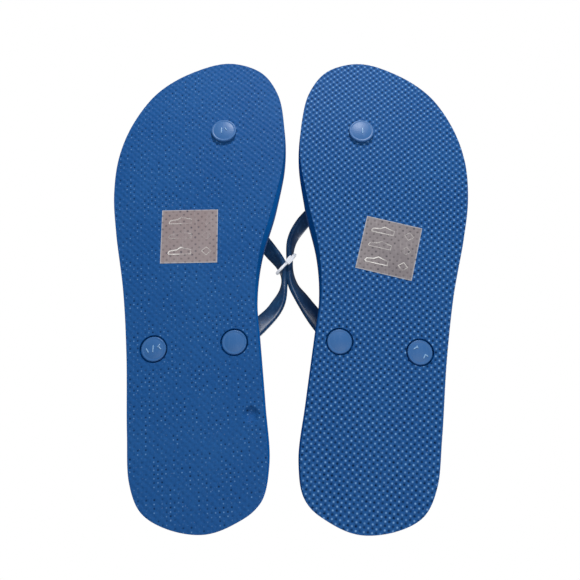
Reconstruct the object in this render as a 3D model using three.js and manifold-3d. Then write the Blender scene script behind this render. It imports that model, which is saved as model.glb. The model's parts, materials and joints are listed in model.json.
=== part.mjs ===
// A pair of thong sandals, standing side by side on their soles and held together by a plastic
// loop through the inner arms of their straps. Millimetres, +Z up, toes towards +Y, the right
// shoe on +X. The origin is the middle of the pair's footprint, on the floor.
//
// Each shoe is described once, in its own shoe frame: X points to the outer side of the foot,
// Y from the heel end to the toes, and Z up from the tread. The left shoe is the mirror image.

import * as THREE from 'three';
import { mergeVertices } from 'three/addons/utils/BufferGeometryUtils.js';
import Module from 'manifold-3d';

const wasm = await Module();
wasm.setup();

// ---- Driving dimensions ---------------------------------------------------------------------

// Where each shoe's heel end stands, how far its toes turn out in degrees, and where its label is.
const RIGHT = {
  name: 'right', mirror: 1, heel: [43.2, -122.2], splay: 4.1, label: { at: [1.2, 153.5], turn: 3 },
};
const LEFT = {
  name: 'left', mirror: -1, heel: [-35.3, -122.4], splay: 7.0, label: { at: [1.0, 147.6], turn: -7 },
};

// The tread's outline, from the heel end up the outer side and back down the inner side.
const OUTLINE = [
  [-2, 0.4], [16, 4.2], [28.5, 12.5], [34, 26], [35.2, 50], [35.6, 90], [37.5, 125], [41.5, 158],
  [43, 182], [40.5, 206], [32.4, 228.4], [18, 249], [-2, 262], [-25, 267.5], [-44, 259.2],
  [-53.2, 242.5], [-55.6, 221], [-53.8, 197], [-46.6, 171], [-36.9, 142], [-32.9, 117], [-33.2, 98],
  [-34, 60], [-34.2, 30], [-28.8, 11.8], [-17, 4.2],
];
const OUTLINE_STEPS = 80;
const WALL_FLARE = 0.6;             // the footbed stands this far outside the tread all round
const WAIST_FLARE = 0.9;            // and this much more at the inner waist
const WAIST = { y: 162, spread: 22 };

const HEEL_THICK = 17;
const TOE_THICK = 14;
const WEDGE = { from: 95, to: 180 };          // the sole thins between these
const SPRING = { from: 150, rise: 7 };        // the toe end curves up by rise at the tip
const SOLE_LENGTH = 267.5;

const OUTSOLE_THICK = 3;
const FOOTBED_THICK = 2.5;
const GLUE_GAP = 0.15;              // between the laminated sheets

const TOE_HOLE = [-20.3, 217.7];
const SIDE_HOLES = [[-20.7, 92.8], [21.5, 92.2]];
const HOLE_R = 3.2;
const POST_R = 2.8;
const COUNTERBORE_R = 7.35;         // the side plugs lie in round pockets through the outsole
const SIDE_PLUG = { r: 6.5, rim: 0.5, bottom: 0.2, thick: 2.4 };
const TOE_PLUG = { r: 7.2, rim: 0.5, proud: 1.75, thick: 1.45 };

const LABEL = { size: 31, thick: 0.12, pocket: 0.3, clearance: 0.4 };

// The strap's arms, station by station from the toe post to the side plug: where the middle of
// the band is, which way its outer face looks, and how wide and thick it is. The inner arms are
// pulled out over the waist to reach the loop, where the bands stand on edge.
const RIGHT_INNER_ARM = [
  { at: [-20.3, 219, 25], face: [0.1, 0.75, 0.75], wide: 5.6, thick: 4.6 },
  { at: [-21.5, 210, 31], face: [-0.2, 0.35, 1], wide: 7.2, thick: 4.2 },
  { at: [-25.9, 190.8, 36.5], face: [-0.4, 0.15, 1], wide: 8.6, thick: 3.4 },
  { at: [-33, 170, 39], face: [-0.45, 0.3, 0.9], wide: 9.6, thick: 3.2 },
  { at: [-42, 156.2, 41], face: [-0.5, 0.45, 0.8], wide: 9.8, thick: 3.1 },
  { at: [-48.5, 146, 42.5], face: [-0.85, 0.3, 0.4], wide: 9.8, thick: 3 },
  { at: [-49.6, 136, 43], face: [-1, 0, 0.05], wide: 9.8, thick: 3 },
  { at: [-43.6, 119, 37.5], face: [-0.45, -0.45, 0.9], wide: 10.2, thick: 3.1 },
  { at: [-33.2, 106.6, 30], face: [0.1, -0.5, 0.85], wide: 10.4, thick: 3.2 },
  { at: [-25.2, 97.8, 26], face: [0, -0.8, 0.5], wide: 8.6, thick: 3.8 },
  { at: [-20.7, 92.8, 20], face: [-0.2, -0.9, 0], wide: 6, thick: 4.8 },
];
const LEFT_INNER_ARM = [
  { at: [-20.3, 219, 25], face: [0.1, 0.75, 0.75], wide: 5.6, thick: 4.6 },
  { at: [-22.5, 210, 31], face: [-0.3, 0.3, 1], wide: 7.2, thick: 4.2 },
  { at: [-31.2, 194.1, 36.5], face: [-0.45, 0.35, 1], wide: 8.6, thick: 3.4 },
  { at: [-40.8, 182.4, 38.5], face: [-0.45, 0.45, 0.9], wide: 9, thick: 3.2 },
  { at: [-49, 171.3, 40], face: [-0.6, 0.4, 0.75], wide: 9.2, thick: 3.1 },
  { at: [-54, 160, 42.5], face: [-0.9, 0.2, 0.35], wide: 9.4, thick: 3.1 },
  { at: [-53.4, 145, 43.5], face: [-1, 0, 0.05], wide: 9.6, thick: 3 },
  { at: [-50.2, 132.8, 41.3], face: [-0.85, -0.25, 0.5], wide: 9.8, thick: 3 },
  { at: [-43.6, 122.9, 36.5], face: [-0.5, -0.45, 0.85], wide: 10.2, thick: 3.1 },
  { at: [-32.8, 108.8, 30], face: [0.1, -0.5, 0.85], wide: 10.4, thick: 3.2 },
  { at: [-25, 98.7, 26], face: [0, -0.8, 0.5], wide: 8.6, thick: 3.8 },
  { at: [-20.7, 92.8, 20], face: [-0.2, -0.9, 0], wide: 6, thick: 4.8 },
];
const OUTER_ARM = [
  { at: [-20.3, 219, 25], face: [-0.1, 0.75, 0.75], wide: 5.6, thick: 4.6 },
  { at: [-16.5, 210, 31], face: [0.3, 0.3, 1], wide: 7.4, thick: 4.2 },
  { at: [-2, 193, 38], face: [0.5, 0.1, 0.95], wide: 9.2, thick: 3.4 },
  { at: [17, 172, 43.5], face: [0.7, 0.05, 0.85], wide: 10, thick: 3.2 },
  { at: [30, 148, 45], face: [0.85, 0, 0.75], wide: 10.2, thick: 3.1 },
  { at: [34, 125, 41.5], face: [0.95, -0.15, 0.6], wide: 10.4, thick: 3.1 },
  { at: [30, 105, 32.5], face: [0.75, -0.55, 0.6], wide: 10.6, thick: 3.2 },
  { at: [23.6, 95.6, 25.5], face: [0.5, -0.85, 0.35], wide: 8.6, thick: 3.8 },
  { at: [21.5, 92.2, 20], face: [0.5, -0.85, 0], wide: 6, thick: 4.8 },
];
const ARM_STEPS = 28;
const ROUND_SIDES = 20;             // sides of each post and hole
const SLAB = { width: 150, step: 8 };         // the blank that each sheet is cut from
const SPARE = 10;                   // blanks and cutters run this far past what they cut
const COLLAR = { r: 4.4, height: 2.2, gap: 0.3, waist: 0.4, neck: 0.2 };   // on the footbed
const POST_ABOVE = { toe: 10.5, side: 3.4 };  // how far the posts reach above the footbed, into the arms

// The loop is a moulded plastic strand round both inner arms, closed by a small lock.
const TIE = {
  at: [2.7, 26.6, 43.3], turn: -46, strand: 0.75, halfWide: 8.2, halfTall: 7.1, squareness: 4, points: 16,
};
const LOCK = { size: [4.8, 3.4, 2.9], along: 3, gap: 0.3 };

// ---- Materials ------------------------------------------------------------------------------

const treadBlue = new THREE.MeshStandardMaterial({ color: 0x29559a, roughness: 0.62 });
const wallBlue = new THREE.MeshStandardMaterial({ color: 0x2463a4, roughness: 0.6 });
const footbedBlue = new THREE.MeshStandardMaterial({ color: 0x29559a, roughness: 0.66 });
const strapNavy = new THREE.MeshStandardMaterial({ color: 0x2b5288, roughness: 0.32 });
const labelFilm = new THREE.MeshStandardMaterial({ color: 0x988c8e, roughness: 0.4 });
const tieClear = new THREE.MeshStandardMaterial({ color: 0xe4e2e0, roughness: 0.35 });

// ---- Solid helpers --------------------------------------------------------------------------

// A manifold solid from a closed three.js geometry.
function solidFrom(geometry) {
  const bare = geometry.clone();
  bare.deleteAttribute('normal');
  bare.deleteAttribute('uv');
  const merged = mergeVertices(bare, 1e-4);
  return new wasm.Manifold(new wasm.Mesh({
    numProp: 3,
    vertProperties: merged.getAttribute('position').array,
    triVerts: new Uint32Array(merged.index.array),
  }));
}

// A three.js geometry from a manifold solid.
function geometryFrom(solid) {
  const mesh = solid.getMesh();
  const stride = mesh.numProp;
  const positions = new Float32Array(mesh.numVert * 3);
  for (let i = 0; i < mesh.numVert; i++) {
    positions.set(mesh.vertProperties.subarray(i * stride, i * stride + 3), i * 3);
  }
  const geometry = new THREE.BufferGeometry();
  geometry.setAttribute('position', new THREE.BufferAttribute(positions, 3));
  geometry.setIndex(new THREE.BufferAttribute(mesh.triVerts, 1));
  return geometry;
}

// Moves every vertex of a geometry by a rule.
function mapVertices(geometry, rule) {
  const position = geometry.getAttribute('position');
  const vertex = new THREE.Vector3();
  for (let i = 0; i < position.count; i++) {
    vertex.fromBufferAttribute(position, i);
    rule(vertex);
    position.setXYZ(i, vertex.x, vertex.y, vertex.z);
  }
  return geometry;
}

function smoothStep(from, to, value) {
  const t = THREE.MathUtils.clamp((value - from) / (to - from), 0, 1);
  return t * t * (3 - 2 * t);
}

// ---- Sole -----------------------------------------------------------------------------------

// How far along its curved toe end the sole is, from 0 where the curve starts to 1 at the tip.
const toeShare = (y) => Math.max(0, y - SPRING.from) / (SOLE_LENGTH - SPRING.from);
const toeSpring = (y) => SPRING.rise * toeShare(y) ** 2;
const toeSlope = (y) => 2 * SPRING.rise * toeShare(y) / (SOLE_LENGTH - SPRING.from);
const soleThickness = (y) => THREE.MathUtils.lerp(
  HEEL_THICK, TOE_THICK, smoothStep(WEDGE.from, WEDGE.to, y));

// The heights of the sheets' faces above the floor, at a distance y from the heel end.
const treadFace = (y) => toeSpring(y);
const outsoleTop = (y) => toeSpring(y) + OUTSOLE_THICK;
const footbedUnder = (y) => toeSpring(y) + soleThickness(y) - FOOTBED_THICK;
const footbedTop = (y) => toeSpring(y) + soleThickness(y);

const treadCurve = new THREE.CatmullRomCurve3(
  OUTLINE.map(([x, y]) => new THREE.Vector3(x, y, 0)), true, 'centripetal');

// How far the wall leans out by the footbed, at a point of the outline.
function flareAt({ x, y }) {
  const waist = Math.exp(-(((y - WAIST.y) / WAIST.spread) ** 2));
  return WALL_FLARE + (x < 0 ? WAIST_FLARE * waist : 0);
}

// The whole sole's block: the outline drawn up with its walls leaning out.
function soleBlock() {
  const rim = treadCurve.getSpacedPoints(OUTLINE_STEPS).slice(0, -1);
  const top = rim.map((point, i) => {
    const tangent = rim[(i + 1) % rim.length].clone().sub(rim.at(i - 1)).normalize();
    const lean = flareAt(point);
    return new THREE.Vector3(point.x + tangent.y * lean, point.y - tangent.x * lean, 0);
  });
  const height = HEEL_THICK + SPRING.rise + SPARE;
  const block = new THREE.ExtrudeGeometry(new THREE.Shape(rim.map(({ x, y }) => new THREE.Vector2(x, y))),
    { depth: height, bevelEnabled: false });
  mapVertices(block, (vertex) => {
    const nearest = rim.reduce((best, point, i) => (
      Math.hypot(point.x - vertex.x, point.y - vertex.y)
        < Math.hypot(rim[best].x - vertex.x, rim[best].y - vertex.y) ? i : best), 0);
    const share = vertex.z / HEEL_THICK;
    vertex.set(
      THREE.MathUtils.lerp(rim[nearest].x, top[nearest].x, share),
      THREE.MathUtils.lerp(rim[nearest].y, top[nearest].y, share),
      vertex.z);
  });
  return solidFrom(block);
}

// A slab as wide as the sole, between two height curves drawn along its length.
function slabBetween(lower, upper) {
  // The heel half is straight, so the stations are close together only from the wedge on.
  const stations = [-SPARE];
  for (let y = WEDGE.from; y < SOLE_LENGTH + SPARE + SLAB.step; y += SLAB.step) stations.push(y);
  const profile = [
    ...stations.map((y) => new THREE.Vector2(y, lower(y))),
    ...stations.toReversed().map((y) => new THREE.Vector2(y, upper(y))),
  ];
  const slab = new THREE.ExtrudeGeometry(new THREE.Shape(profile),
    { depth: SLAB.width, bevelEnabled: false });
  // The profile's own axes are the shoe's Y and Z, and it is drawn out along X.
  slab.applyMatrix4(new THREE.Matrix4().makeBasis(
    new THREE.Vector3(0, 1, 0), new THREE.Vector3(0, 0, 1), new THREE.Vector3(1, 0, 0)));
  slab.translate(-SLAB.width / 2, 0, 0);
  return solidFrom(slab);
}

// Turns what is made upright at the origin to stand square on the sprung tread at a hole.
function standAt(solid, [x, y], z) {
  const tilt = THREE.MathUtils.radToDeg(Math.atan(toeSlope(y)));
  return solid.rotate([tilt, 0, 0]).translate([x, y, z]);
}

function drill([x, y], radius, from, to) {
  const bit = new THREE.CylinderGeometry(radius, radius, to - from, ROUND_SIDES);
  bit.rotateX(Math.PI / 2);
  bit.translate(0, 0, (from + to) / 2);
  return standAt(solidFrom(bit), [x, y], treadFace(y));
}

const block = soleBlock();
const postHoles = [TOE_HOLE, ...SIDE_HOLES].map((hole) => (
  drill(hole, HOLE_R, -SPARE, HEEL_THICK + SPARE)));

function soleSheet(lower, upper, cutters) {
  const sheet = block.intersect(slabBetween(lower, upper));
  return cutters.reduce((left, cutter) => left.subtract(cutter), sheet);
}

function labelPocket({ at, turn }) {
  const side = LABEL.size + 2 * LABEL.clearance;
  const pocket = new THREE.BoxGeometry(side, side, LABEL.pocket * 2);
  pocket.rotateZ(THREE.MathUtils.degToRad(turn));
  pocket.translate(at[0], at[1], 0);
  return solidFrom(pocket);
}

const midsole = geometryFrom(soleSheet(
  (y) => outsoleTop(y) + GLUE_GAP, (y) => footbedUnder(y) - GLUE_GAP, postHoles));
const footbed = geometryFrom(soleSheet(footbedUnder, footbedTop, postHoles));

function outsole(label) {
  const pockets = SIDE_HOLES.map((hole) => (
    drill(hole, COUNTERBORE_R, -SPARE, OUTSOLE_THICK + SPARE)));
  return geometryFrom(soleSheet(treadFace, outsoleTop, [...postHoles, ...pockets, labelPocket(label)]));
}

// ---- Strap ----------------------------------------------------------------------------------

// The band's section, one unit wide and thick: flat inside, gently crowned outside.
function bandSection() {
  const section = new THREE.Shape();
  section.moveTo(-0.42, -0.5);
  section.lineTo(0.42, -0.5);
  section.quadraticCurveTo(0.5, -0.5, 0.5, -0.3);
  section.quadraticCurveTo(0.5, 0.3, 0.36, 0.4);
  section.quadraticCurveTo(0, 0.6, -0.36, 0.4);
  section.quadraticCurveTo(-0.5, 0.3, -0.5, -0.3);
  section.quadraticCurveTo(-0.5, -0.5, -0.42, -0.5);
  return section;
}

// One arm: the section drawn out along the stations, turned to face as they say.
function strapArm(stations) {
  const curveOf = (pick) => new THREE.CatmullRomCurve3(stations.map(pick), false, 'centripetal');
  const middle = curveOf(({ at }) => new THREE.Vector3(...at));
  const facing = new THREE.CatmullRomCurve3(
    stations.map(({ face }) => new THREE.Vector3(...face).normalize()), false, 'catmullrom');
  const sizes = new THREE.CatmullRomCurve3(
    stations.map(({ wide, thick }) => new THREE.Vector3(wide, thick, 0)), false, 'catmullrom');
  const arm = new THREE.ExtrudeGeometry(bandSection(),
    { depth: 1, steps: ARM_STEPS, bevelEnabled: false, curveSegments: 2 });
  return solidFrom(mapVertices(arm, (vertex) => {
    const along = THREE.MathUtils.clamp(vertex.z, 0, 1);
    const tangent = middle.getTangent(along);
    const face = facing.getPoint(along);
    face.addScaledVector(tangent, -face.dot(tangent)).normalize();
    const across = new THREE.Vector3().crossVectors(face, tangent);
    const size = sizes.getPoint(along);
    const { x, y } = vertex;
    vertex.copy(middle.getPoint(along))
      .addScaledVector(across, x * size.x)
      .addScaledVector(face, y * size.y);
  }));
}

// A post with its plug at the bottom and its collar on the footbed. Heights are above the tread.
function post([x, y], plug, plugBottom, top) {
  const collarBase = soleThickness(y) + COLLAR.gap;
  const profile = [
    [0, plugBottom], [plug.r - plug.rim, plugBottom], [plug.r, plugBottom + plug.rim],
    [plug.r, plugBottom + plug.thick], [POST_R, plugBottom + plug.thick],
    [POST_R, collarBase], [COLLAR.r, collarBase], [COLLAR.r - COLLAR.waist, collarBase + COLLAR.height / 2],
    [POST_R + COLLAR.neck, collarBase + COLLAR.height], [POST_R, top], [0, top],
  ];
  const turned = new THREE.LatheGeometry(profile.map(([r, z]) => new THREE.Vector2(r, z)), ROUND_SIDES);
  turned.rotateX(Math.PI / 2);
  return standAt(solidFrom(turned), [x, y], treadFace(y));
}

function strap(innerArm) {
  const toePost = post(TOE_HOLE, TOE_PLUG, -TOE_PLUG.proud, soleThickness(TOE_HOLE[1]) + POST_ABOVE.toe);
  const sidePosts = SIDE_HOLES.map((hole) => (
    post(hole, SIDE_PLUG, SIDE_PLUG.bottom, HEEL_THICK + POST_ABOVE.side)));
  return geometryFrom([toePost, ...sidePosts, strapArm(OUTER_ARM)]
    .reduce((whole, piece) => whole.add(piece), strapArm(innerArm)));
}

// ---- Label ----------------------------------------------------------------------------------

// A square of clear film, level with the tips of the tread.
function label({ at, turn }) {
  const film = new THREE.BoxGeometry(LABEL.size, LABEL.size, LABEL.thick);
  film.rotateZ(THREE.MathUtils.degToRad(turn));
  film.translate(at[0], at[1], toeSpring(at[1]) + LABEL.thick / 2);
  return film;
}

// ---- Tie ------------------------------------------------------------------------------------

// A closed squarish ring standing upright round the two arms.
function tieRing(strand) {
  const path = new THREE.CatmullRomCurve3([], true);
  for (let i = 0; i < TIE.points; i++) {
    const angle = (i / TIE.points) * 2 * Math.PI;
    const [across, up] = [Math.cos(angle), Math.sin(angle)];
    const power = TIE.squareness;
    const reach = (Math.abs(across) ** power + Math.abs(up) ** power) ** (-1 / power);
    path.points.push(new THREE.Vector3(TIE.halfWide * reach * across, 0, TIE.halfTall * reach * up));
  }
  const section = new THREE.Shape();
  section.absarc(0, 0, strand, 0, 2 * Math.PI);
  return solidFrom(new THREE.ExtrudeGeometry(section, { extrudePath: path, steps: 32, curveSegments: 4 }));
}

// The lock that closes the ring: a small block on its lowest run, with the strand through it.
function tieLock() {
  const lock = new THREE.BoxGeometry(...LOCK.size);
  lock.translate(-LOCK.along, 0, -TIE.halfTall);
  return solidFrom(lock).subtract(tieRing(TIE.strand + LOCK.gap));
}

// ---- Assembly -------------------------------------------------------------------------------

function named(name, geometry, material) {
  const mesh = new THREE.Mesh(geometry, material);
  mesh.name = name;
  return mesh;
}

function shoe(side, innerArm) {
  const group = new THREE.Group();
  group.add(
    named(`${side.name}_outsole`, outsole(side.label), treadBlue),
    named(`${side.name}_midsole`, midsole, wallBlue),
    named(`${side.name}_footbed`, footbed, footbedBlue),
    named(`${side.name}_strap`, strap(innerArm), strapNavy),
    named(`${side.name}_label`, label(side.label), labelFilm),
  );
  group.position.set(...side.heel, 0);
  group.rotation.z = -side.mirror * THREE.MathUtils.degToRad(side.splay);
  group.scale.x = side.mirror;
  return group;
}

const tie = new THREE.Group();
tie.add(
  named('tie_loop', geometryFrom(tieRing(TIE.strand)), tieClear),
  named('tie_lock', geometryFrom(tieLock()), tieClear),
);
tie.position.set(...TIE.at);
tie.rotation.z = THREE.MathUtils.degToRad(TIE.turn);

const pair = new THREE.Group();
pair.add(shoe(RIGHT, RIGHT_INNER_ARM), shoe(LEFT, LEFT_INNER_ARM), tie);
pair.updateMatrixWorld(true);

// The origin goes to the middle of the pair's footprint.
const middle = new THREE.Box3().setFromObject(pair, true).getCenter(new THREE.Vector3());
pair.position.set(-middle.x, -middle.y, 0);

export default pair;
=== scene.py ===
import json
import math

import bmesh
import bpy
from mathutils import Matrix, Vector, noise


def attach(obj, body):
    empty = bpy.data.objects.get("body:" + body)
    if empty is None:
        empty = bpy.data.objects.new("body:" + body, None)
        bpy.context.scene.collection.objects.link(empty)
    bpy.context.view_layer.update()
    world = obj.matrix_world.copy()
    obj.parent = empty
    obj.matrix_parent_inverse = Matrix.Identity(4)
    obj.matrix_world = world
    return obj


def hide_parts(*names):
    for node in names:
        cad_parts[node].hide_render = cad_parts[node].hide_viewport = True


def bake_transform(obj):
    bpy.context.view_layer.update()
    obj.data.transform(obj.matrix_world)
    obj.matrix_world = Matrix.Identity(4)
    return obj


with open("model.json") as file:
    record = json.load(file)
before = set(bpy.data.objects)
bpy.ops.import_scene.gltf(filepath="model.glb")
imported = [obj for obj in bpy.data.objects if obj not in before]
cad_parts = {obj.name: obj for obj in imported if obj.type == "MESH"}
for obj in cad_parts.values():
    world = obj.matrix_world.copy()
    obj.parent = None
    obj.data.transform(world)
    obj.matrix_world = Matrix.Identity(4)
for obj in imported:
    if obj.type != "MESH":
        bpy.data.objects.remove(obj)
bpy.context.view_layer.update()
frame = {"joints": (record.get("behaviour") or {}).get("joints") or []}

# ---- Camera -------------------------------------------------------------------------------------
# It lies under the pair and looks up at the treads, leaning towards the toes and rolled over so
# that the toes are at the top.

MM = 0.001
CAMERA_AT, CAMERA_TILT, CAMERA_LENS = (0.8, -89.9, -290.1), 165, 34.76
camera = bpy.data.objects.new("camera", bpy.data.cameras.new("camera"))
camera.data.lens = CAMERA_LENS
camera.data.clip_start = 0.01
camera.matrix_world = (
    Matrix.Translation(Vector(CAMERA_AT) * MM)
    @ Matrix.Rotation(math.radians(CAMERA_TILT), 4, "X")
    @ Matrix.Rotation(math.pi, 4, "Z")
)
bpy.context.scene.collection.objects.link(camera)
bpy.context.scene.camera = camera

# ---- Outsoles -----------------------------------------------------------------------------------
# The bottom sheet of each sole: blue foam rubber, pressed with small pits in rows at 45 degrees to
# the foot, die-cut to the foot's shape and laminated to the midsole. Sizes are in millimetres, in
# the shoe's own frame: X to the outer side of the foot, Y from the heel end to the toes.

SHOES = {
    # where the shoe's own frame stands in the pair, and where its label is in that frame
    "right": {
        "mirror": 1, "heel": (44.046, -134.439), "turn": -4.1, "label": (1.2, 153.5), "label_turn": 3},
    "left": {
        "mirror": -1, "heel": (-34.454, -134.639), "turn": 7.0, "label": (1.0, 147.6), "label_turn": -7},
}
OUTLINE = [Vector(point) for point in (
    (-2, 0.4), (16, 4.2), (28.5, 12.5), (34, 26), (35.2, 50), (35.6, 90), (37.5, 125), (41.5, 158),
    (43, 182), (40.5, 206), (32.4, 228.4), (18, 249), (-2, 262), (-25, 267.5), (-44, 259.2),
    (-53.2, 242.5), (-55.6, 221), (-53.8, 197), (-46.6, 171), (-36.9, 142), (-32.9, 117),
    (-33.2, 98), (-34, 60), (-34.2, 30), (-28.8, 11.8), (-17, 4.2),
)]
OUTLINE_STEPS = 16                       # to each of those points
HEEL_THICK, TOE_THICK = 17, 14
WEDGE = (95, 180)                        # the sole thins between these
SPRING_FROM, SPRING_RISE, SOLE_LENGTH = 150, 7, 267.5
WALL_FLARE, WAIST_FLARE = 0.6, 0.9       # how far the top stands out, all round and at the waist
WAIST_Y, WAIST_SPREAD = 162, 22
OUTSOLE_THICK, OUTSOLE_EDGE = 3, 0.35
BLANK_X, BLANK_Y = (-60, 48), (-4, 272)  # the blank that a sheet is cut from
DIE_REACH = 5                            # how far the die goes past both sides of a sheet
BEND_STRIP = 6                           # how long the back's strips are where the sole bends
TOE_HOLE, INNER_HOLE, OUTER_HOLE = (-20.3, 217.7), (-20.7, 92.8), (21.5, 92.2)
HOLE_R, COUNTERBORE_R = 3.2, 7.35
PIT_PITCH, PIT_R, PIT_DEEP, PILLOW = 2.8, 0.85, 0.5, 0.32
GRID_CELL = PIT_PITCH * math.sqrt(2) / 8
WEAR = {"right": (0.4, 0.1, 140, 60), "left": (0, 0.35, 170, 235)}   # least, how much more, from y, to y
DENT = {"at": (-27.5, 55.4), "r": 3.3, "deep": 1.9, "rim": 0.25}
FILM_SIDE, FILM_MARGIN, FILM_BED = 31, 0.3, 0.14    # the tread is pressed down to a bed under the film
PIT_SHADE = {"right": 0.25, "left": 0.36}           # how wide the painted shade in the pits' bottoms is, in pitches
UNEVEN = {"right": 1.5, "left": 0.45}               # how much fainter the painted shade of some pits and the painted highlight of some tops are
TOP_HIGHLIGHT_AMOUNT = {"right": 0.6, "left": 0.9}                # how strong the painted highlight on the tops is
TOP_SIZE = 0.75                                     # the painted highlights on the tops beside the pits
TREAD_BLUE, TREAD_PALE = (0.013, 0.086, 0.285, 1), (0.024, 0.12, 0.34, 1)
# The pits' dark colour is painted shade and the tops' pale colour a painted highlight; the dust colour is
# real.
PIT_PAINTED_SHADE, TOP_HIGHLIGHT_BLUE, DUST = (0.003, 0.022, 0.08, 1), (0.22, 0.44, 0.76, 1), (0.55, 0.62, 0.7, 1)
WALL_BLUE, WALL_PALE = (0.004, 0.11, 0.4, 1), (0.008, 0.14, 0.46, 1)


def through(points, at, closed=False, even=False):
    """A smooth curve through the points: where it is, `at` points along it."""
    count = len(points)
    i = int(at) if closed else min(int(at), count - 2)
    if closed:
        a, b, c, d = (points[(i + k) % count] for k in (-1, 0, 1, 2))
    else:
        b, c = points[i], points[i + 1]
        a = points[i - 1] if i else 2 * b - c
        d = points[i + 2] if i + 2 < count else 2 * c - b
    gaps = ((a, b), (b, c), (c, d))
    ab, bc, cd = (1 if even else max((q - p).length, 1e-6) ** 0.5 for p, q in gaps)
    leave = ((b - a) / ab - (c - a) / (ab + bc) + (c - b) / bc) * bc
    arrive = ((c - b) / bc - (d - b) / (bc + cd) + (d - c) / cd) * bc
    t = at - i
    return (
        (2 * t**3 - 3 * t**2 + 1) * b + (t**3 - 2 * t**2 + t) * leave
        + (3 * t**2 - 2 * t**3) * c + (t**3 - t**2) * arrive
    )


def smooth_step(start, end, value):
    t = min(max((value - start) / (end - start), 0), 1)
    return t * t * (3 - 2 * t)


def toe_share(y):
    return max(0, y - SPRING_FROM) / (SOLE_LENGTH - SPRING_FROM)


def toe_spring(y):
    return SPRING_RISE * toe_share(y) ** 2


def sole_thickness(y):
    return HEEL_THICK + (TOE_THICK - HEEL_THICK) * smooth_step(*WEDGE, y)


RIM = [through(OUTLINE, i / OUTLINE_STEPS, closed=True) for i in range(len(OUTLINE) * OUTLINE_STEPS)]


def rim_point(i, z, inset=0.0):
    """A point of the sole's leaning wall, z above the tread, drawn in by inset."""
    here = RIM[i]
    run = RIM[(i + 1) % len(RIM)] - RIM[i - 1]
    waist = math.exp(-(((here.y - WAIST_Y) / WAIST_SPREAD) ** 2)) if here.x < 0 else 0
    lean = (WALL_FLARE + WAIST_FLARE * waist) * z / HEEL_THICK - inset
    return here + Vector((run.y, -run.x)).normalized() * lean


def rolled(around, along, place):
    """A closed skin: a grid rolled into a tube whose rings are at place(i, j), with both ends filled."""
    bm = bmesh.new()
    bmesh.ops.create_grid(bm, x_segments=around, y_segments=along, size=1)
    for n, vert in enumerate(bm.verts):
        j, i = divmod(n, around + 1)
        vert.co = place(i % around, j)
    bmesh.ops.remove_doubles(bm, verts=bm.verts, dist=1e-5)
    bmesh.ops.holes_fill(bm, edges=[edge for edge in bm.edges if edge.is_boundary], sides=0)
    bmesh.ops.recalc_face_normals(bm, faces=bm.faces)
    return bm


def solid(name, bm):
    """A new object that holds the bmesh."""
    mesh = bpy.data.meshes.new(name)
    bm.to_mesh(mesh)
    bm.free()
    made = bpy.data.objects.new(name, mesh)
    bpy.context.scene.collection.objects.link(made)
    return made


def finish_modifiers(made):
    """Makes the result of the object's modifiers its own mesh."""
    bpy.context.view_layer.update()
    result = bpy.data.meshes.new_from_object(made.evaluated_get(bpy.context.evaluated_depsgraph_get()))
    made.modifiers.clear()
    made.data = result


def combine(made, tool, operation):
    """Cuts, trims or joins one closed solid with another, which is used up."""
    step = made.modifiers.new("combine", "BOOLEAN")
    step.operation = operation
    step.solver = "MANIFOLD"
    step.material_mode = "TRANSFER"
    step.object = tool
    finish_modifiers(made)
    bpy.data.objects.remove(tool)


def reshape(made, change):
    """Runs change(bmesh) on the object's mesh."""
    bm = bmesh.new()
    bm.from_mesh(made.data)
    change(bm)
    bm.to_mesh(made.data)
    bm.free()


def upright_at(hole, z):
    """Stands what is made at the origin square on the sprung tread at a hole."""
    slope = 2 * SPRING_RISE * toe_share(hole[1]) / (SOLE_LENGTH - SPRING_FROM)
    return Matrix.Translation((*hole, z)) @ Matrix.Rotation(math.atan(slope), 4, "X")


def bore(made, holes, depth=60, sides=64):
    """Drills the sole right through at each of {hole: radius}, square to the tread."""
    bm = bmesh.new()
    for hole, radius in holes.items():
        bmesh.ops.create_cone(
            bm, cap_ends=True, segments=sides, radius1=radius, radius2=radius, depth=depth,
            matrix=upright_at(hole, toe_spring(hole[1])))
    combine(made, solid("drills", bm), "DIFFERENCE")


def pressed_sheet(name, relief, face, back, edge):
    """A sheet die-cut from a pressed blank. Its patterned face is at relief(x, y) from the level
    face, its plain back is level with back, and the cut edge is rounded off by the face."""
    xs = range(math.floor(BLANK_X[0] / GRID_CELL), math.ceil(BLANK_X[1] / GRID_CELL))
    ys = range(math.floor(BLANK_Y[0] / GRID_CELL), math.ceil(BLANK_Y[1] / GRID_CELL))
    bm = bmesh.new()
    bmesh.ops.create_grid(bm, x_segments=len(xs), y_segments=len(ys), size=1)
    for n, vert in enumerate(bm.verts):
        j, i = divmod(n, len(xs) + 1)
        x, y = (xs.start + i) * GRID_CELL, (ys.start + j) * GRID_CELL
        vert.co = (x, y, face + relief(x, y))
    skirt = bmesh.ops.extrude_edge_only(bm, edges=[edge for edge in bm.edges if edge.is_boundary])
    for vert in skirt["geom"]:
        if isinstance(vert, bmesh.types.BMVert):
            vert.co.z = back
    bmesh.ops.holes_fill(bm, edges=[edge for edge in bm.edges if edge.is_boundary], sides=0)
    bmesh.ops.recalc_face_normals(bm, faces=bm.faces)
    made = solid(name, bm)
    way = 1 if back > face else -1
    levels = [
        (-DIE_REACH, edge), (0, edge), (0.3 * edge, 0.3 * edge), (edge, 0),
        (abs(back - face) + DIE_REACH, 0)]
    die = rolled(len(RIM), len(levels) - 1, lambda i, j: (
        *rim_point(i, max(face + way * levels[j][0], 0), levels[j][1]), face + way * levels[j][0]))
    combine(made, solid("die", die), "INTERSECT")
    return made


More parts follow.
